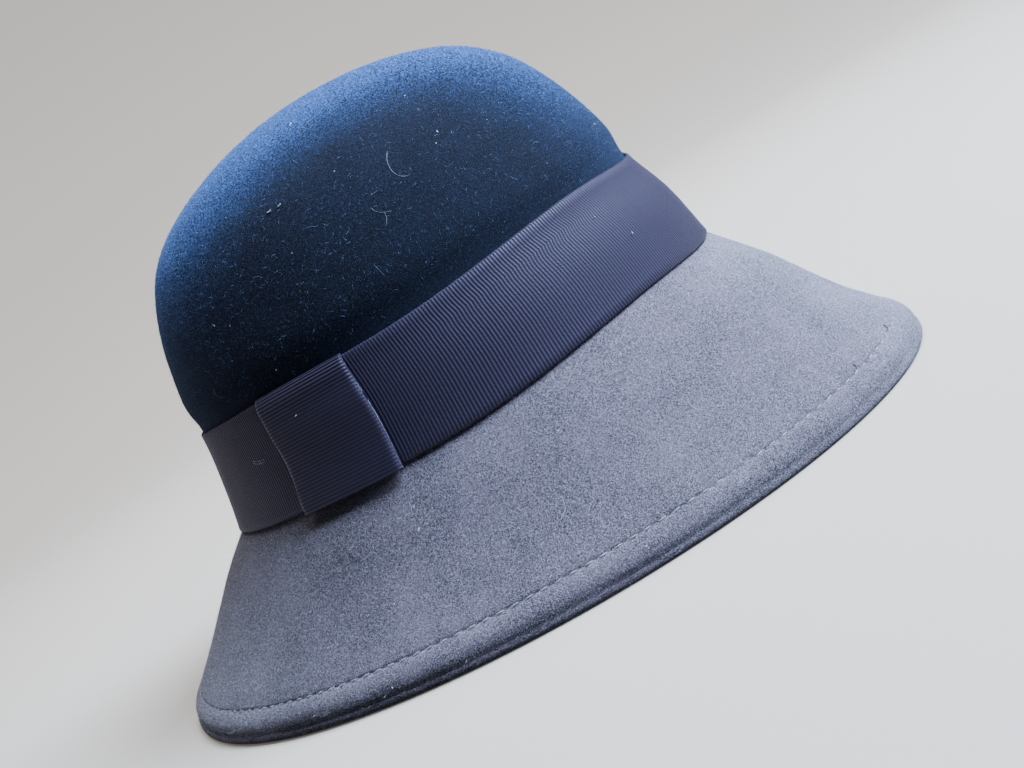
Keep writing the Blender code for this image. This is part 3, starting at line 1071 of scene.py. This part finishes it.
def build_stitches():
    """The machine stitches of the hem, on both faces: short pressed threads whose ends sink into the felt."""
    sizes = bpy.context.scene.hat_sizes
    draw = random.Random(31)
    bm = bmesh.new()
    bmesh.ops.create_uvsphere(bm, u_segments=6, v_segments=9, radius=1)
    bmesh.ops.rotate(bm, verts=bm.verts, cent=(0, 0, 0), matrix=Matrix.Rotation(math.pi / 2, 3, "Y"))
    for vertex in bm.verts:
        x = vertex.co.x * sizes.stitch_length / 2
        sink = STITCH_SINK * vertex.co.x ** 4
        vertex.co = Vector((x, vertex.co.y * STITCH_HALF_WIDTH, vertex.co.z * STITCH_HALF_HEIGHT - sink))
    places = []
    for number in range(stitch_total()):
        angle = angle_of_phase(number + 0.5)
        section = brim_section(angle)
        ahead = brim_section(angle + NUDGE)
        share = section.share_at(STITCH_INSET)
        along = ahead.surface(ahead.share_at(STITCH_INSET)) - section.surface(share)
        relief = hem_relief(STITCH_INSET, 0.5)
        skew = Matrix.Rotation(math.radians(draw.uniform(3, 11)), 4, "Z")
        size = Matrix.Scale(draw.uniform(0.9, 1.06), 4, (1, 0, 0))
        top = section.surface(share, relief + 0.00018 + hand_relief(section.surface(share), *BRIM_WAVES[0]))
        places.append((0, frame_on(top, section.over, along) @ skew @ size))
        low = section.radius + relief + 0.0001
        under = section.middle - section.along * STITCH_INSET - section.over * low
        places.append((0, frame_on(under, -section.over, along) @ skew @ size))
    material = fibre_material("hem_thread", bpy.context.scene.hat_colors.thread, 0.5)
    joined_copies("hem_stitches", [bm], places, material)


def surface_place(on, angle, run, out):
    """A point this far out of a piece, at a height of it, or at an inset from its edge on the brim."""
    if on == "brim":
        section = brim_section(angle)
        share = section.share_at(run)
        relief = hem_relief(run, 0.5) + hand_relief(section.surface(share), *BRIM_WAVES[0])
        return section.surface(share, relief + out)
    raised = {"crown": 0.0, "band": GAP + RIBBON * 1.1, "keeper": 3 * GAP + RIBBON * 3.2}[on]
    return off_felt(crown_step(run), angle, raised + out)


def stray_path(on, degrees, run, length, heading, curl, radius, steps=14):
    """A hair's path over a surface: it starts at a place, heads off and bends through a share of a turn."""
    angle = math.radians(degrees)
    turn = math.radians(heading)
    points = []
    for count in range(steps + 1):
        share = count / steps
        lift = radius + STRAY_LIFT * math.sin(math.pi * share * 1.5) ** 2
        points.append(surface_place(on, angle, run, lift))
        around = (surface_place(on, angle + NUDGE, run, 0) - surface_place(on, angle, run, 0)).length / NUDGE
        angle += math.cos(turn) * length / steps / around
        run += math.sin(turn) * length / steps
        turn += curl * math.tau / steps * (0.4 + 1.2 * share)
    return points


def thread_into(bm, path, radius, sides=4):
    """Adds a thin tube along a path, with pointed ends, to a shape."""
    def place(column, row):
        ahead = path[min(column + 1, len(path) - 1)] - path[max(column - 1, 0)]
        way = Matrix.Rotation(math.tau * row / sides, 3, ahead.normalized()) @ ahead.orthogonal().normalized()
        taper = 0.15 if column in (0, len(path) - 1) else 1.0
        return path[column] + way * radius * taper

    tube = wrapped(len(path) - 1, sides, place)
    held = bpy.data.meshes.new("tube")
    tube.to_mesh(held)
    tube.free()
    bm.from_mesh(held)
    bpy.data.meshes.remove(held)


def build_strays():
    """Stray hairs and thread ends: the ones that show at the front, and finer ones all over the felt."""
    colors = bpy.context.scene.hat_colors
    draw = random.Random(47)
    shapes = {"pale": bmesh.new(), "dark": bmesh.new(), "fine": bmesh.new()}
    for on, degrees, run, length, heading, curl, radius, shade in STRAYS:
        path = stray_path(on, degrees, run / 1000, length / 1000, heading, curl, radius / 1000)
        thread_into(shapes[shade], path, radius / 1000)
    for on, count, low, high in STRAY_FIELDS:
        for _ in range(count):
            length, curl = draw.uniform(0.0015, 0.0045), draw.uniform(-0.45, 0.45)
            place = (draw.uniform(0, 360), draw.uniform(low, high) / 1000)
            path = stray_path(on, *place, length, draw.uniform(0, 360), curl, FINE_HAIR, steps=7)
            thread_into(shapes["fine"], path, FINE_HAIR, sides=3)
    lint = fibre_material("pale_lint", colors.lint, 0.8)
    bluer = [value * share for value, share in zip(colors.lint, (0.5, 0.7, 1.0))]
    hair = fibre_material("pale_hair", bluer, 0.7)
    dark = fibre_material("dark_thread", [value * 0.3 for value in colors.ribbon], 0.8)
    piece("stray_hairs", shapes["pale"], lint)
    piece("fine_hairs", shapes["fine"], hair)
    piece("dark_thread_ends", shapes["dark"], dark)


class HAT_OT_crown(bpy.types.Operator):
    """Makes the crown's felt and its nap"""
    bl_idname = "hat.crown"
    bl_label = "Crown"

    def execute(self, context):
        crown = build_crown()
        colors = context.scene.hat_colors
        fibres = fibre_material("navy_fibres", [value * 0.9 for value in colors.crown_fibre], 0.7)
        lint = fibre_material("pale_lint", colors.lint, 0.8)
        band_top = HEAD_RISE + BAND_HEIGHT + 0.004

        def outside(point, normal):
            radial = Vector((point.x - HEAD_FORWARD, point.y, max(point.z - HEAD_RISE - 0.03, 0)))
            clear = point.z > band_top + (point.x - HEAD_FORWARD) * math.tan(HEAD_TILT)
            return clear and normal.dot(radial) > 0

        pale = fibre_material("navy_fibre_tips", [value * 8 for value in colors.crown_fibre], 0.7)
        build_nap("crown_nap", crown, 11, fibres, pale, outside)
        lint_specks("crown_lint", crown, 12, lint, outside)
        return {"FINISHED"}


class HAT_OT_brim(bpy.types.Operator):
    """Makes the brim's felt, its stitched hem and its nap"""
    bl_idname = "hat.brim"
    bl_label = "Brim"

    def execute(self, context):
        brim = build_brim()
        colors = context.scene.hat_colors
        fibres = fibre_material("taupe_fibres", colors.brim_fibre, 0.7)
        lint = fibre_material("pale_lint", colors.lint, 0.8)

        def outside(point, normal):
            radial = Vector((point.x, point.y * RIM_LENGTH / RIM_WIDTH, 0.0)).normalized()
            return normal.dot(radial + UP) > 0.1 and point.z < HEAD_RISE - 0.002 and point.z > 0.0012

        pale = fibre_material("taupe_fibre_tips", [value * 1.5 for value in colors.brim_fibre], 0.7)
        build_nap("brim_nap", brim, 21, fibres, pale, outside)
        lint_specks("brim_lint", brim, 22, lint, outside)
        build_stitches()
        build_strays()
        return {"FINISHED"}


class HAT_OT_ribbon(bpy.types.Operator):
    """Makes the ribbon round the head line and its keeper"""
    bl_idname = "hat.ribbon"
    bl_label = "Ribbon"

    def execute(self, context):
        build_band()
        build_keeper()
        return {"FINISHED"}


def aimed_light(name, place, aim, size, power, color):
    """A soft square light at a place, turned to its aim."""
    lamp = bpy.data.lights.new(name, "AREA")
    lamp.shape = "SQUARE"
    lamp.size = size
    lamp.energy = power
    lamp.color = color
    holder = bpy.data.objects.new(name, lamp)
    bpy.context.scene.collection.objects.link(holder)
    holder.location = place
    holder.rotation_euler = (aim - place).to_track_quat("-Z", "Y").to_euler()
    holder.visible_camera = False


def floor_material():
    """Pale paint, darker where light bounces off it and with a faint glow to the camera."""
    material, tree, shader = new_material("pale_floor", Roughness=0.9, Emission_Strength=FLOOR_GLOW)
    paint = bpy.context.scene.hat_colors.floor
    rays = fill_node(tree, "ShaderNodeLightPath").outputs
    thrown = [value * FLOOR_BOUNCE for value in paint]
    seen = mixed(tree, rays["Is Diffuse Ray"], (*paint, 1), (*thrown, 1))
    tree.links.new(seen, shader.inputs["Base Color"])
    glow = mixed(tree, rays["Is Camera Ray"], (0, 0, 0, 1), (*paint, 1))
    tree.links.new(glow, shader.inputs["Emission Color"])
    return material


def build_floor():
    """The floor, which curves up into a round backdrop."""
    bm = bmesh.new()
    flat = FLOOR_RADIUS - FLOOR_FILLET
    outline = [(0.0, -FLOOR_DROP), (flat / 2, -FLOOR_DROP), (flat, -FLOOR_DROP)]
    for count in range(1, 13):
        turn = math.pi / 2 * count / 12
        rise = FLOOR_FILLET * (1 - math.cos(turn)) - FLOOR_DROP
        outline.append((flat + FLOOR_FILLET * math.sin(turn), rise))
    outline.append((FLOOR_RADIUS, BACKDROP_HEIGHT))
    verts = [bm.verts.new((x, 0, z)) for x, z in outline]
    edges = [bm.edges.new(pair) for pair in zip(verts, verts[1:])]
    bmesh.ops.spin(
        bm, geom=verts + edges, cent=(0, 0, 0), axis=(0, 0, 1), angle=math.tau, steps=96, use_merge=True)
    bmesh.ops.remove_doubles(bm, verts=bm.verts, dist=1e-5)
    bmesh.ops.recalc_face_normals(bm, faces=bm.faces)
    mesh = bpy.data.meshes.new("studio_floor")
    bm.to_mesh(mesh)
    bm.free()
    floor = in_scene("studio_floor", mesh, floor_material())


def build_camera():
    """The camera, turned round the hat, raised, and rolled about its own line of sight."""
    scene = bpy.context.scene
    level = math.cos(CAMERA_ELEVATION)
    back = Vector((
        math.sin(CAMERA_AZIMUTH) * level, -math.cos(CAMERA_AZIMUTH) * level, math.sin(CAMERA_ELEVATION)))
    right = Vector((math.cos(CAMERA_AZIMUTH), math.sin(CAMERA_AZIMUTH), 0))
    up = back.cross(right)
    across = right * math.cos(CAMERA_ROLL) - up * math.sin(CAMERA_ROLL)
    upward = right * math.sin(CAMERA_ROLL) + up * math.cos(CAMERA_ROLL)
    lens = bpy.data.cameras.new("camera")
    lens.lens = CAMERA_LENS
    lens.sensor_width = CAMERA_SENSOR
    lens.clip_start = 0.01
    camera = bpy.data.objects.new("camera", lens)
    scene.collection.objects.link(camera)
    camera.matrix_world = standing_at(across, upward, back, CAMERA_AIM + back * CAMERA_DISTANCE)
    scene.camera = camera


class HAT_OT_stage(bpy.types.Operator):
    """Makes the floor with its round backdrop, the lights and the camera"""
    bl_idname = "hat.stage"
    bl_label = "Stage"

    def execute(self, context):
        build_floor()
        world = bpy.data.worlds.new("soft_room")
        context.scene.world = world
        world.use_nodes = True
        room = world.node_tree.nodes["Background"].inputs
        room["Color"].default_value = ROOM_COLOR
        room["Strength"].default_value = ROOM_STRENGTH
        build_camera()
        for light in LIGHTS:
            aimed_light(*light)
        return {"FINISHED"}


class HAT_PT_sidebar(bpy.types.Panel):
    bl_idname = "HAT_PT_sidebar"
    bl_label = "Cloche Hat"
    bl_space_type = "VIEW_3D"
    bl_region_type = "UI"
    bl_category = "Hat"

    def draw(self, context):
        layout = self.layout
        for group in (context.scene.hat_sizes, context.scene.hat_colors):
            box = layout.box()
            for name in group.bl_rna.properties.keys():
                if name not in {"rna_type", "name"}:
                    box.prop(group, name)
        for operator in OPERATORS:
            layout.operator(operator.bl_idname)


OPERATORS = (HAT_OT_crown, HAT_OT_brim, HAT_OT_ribbon, HAT_OT_stage)
CLASSES = (HatSizes, HatColors, *OPERATORS, HAT_PT_sidebar)


def register():
    for made in CLASSES:
        bpy.utils.register_class(made)
    bpy.types.Scene.hat_sizes = PointerProperty(type=HatSizes)
    bpy.types.Scene.hat_colors = PointerProperty(type=HatColors)


def unregister():
    del bpy.types.Scene.hat_sizes
    del bpy.types.Scene.hat_colors
    for made in reversed(CLASSES):
        bpy.utils.unregister_class(made)


def main():
    register()
    for operator in (bpy.ops.hat.crown, bpy.ops.hat.brim, bpy.ops.hat.ribbon, bpy.ops.hat.stage):
        operator()


if __name__ == "__main__":
    main()
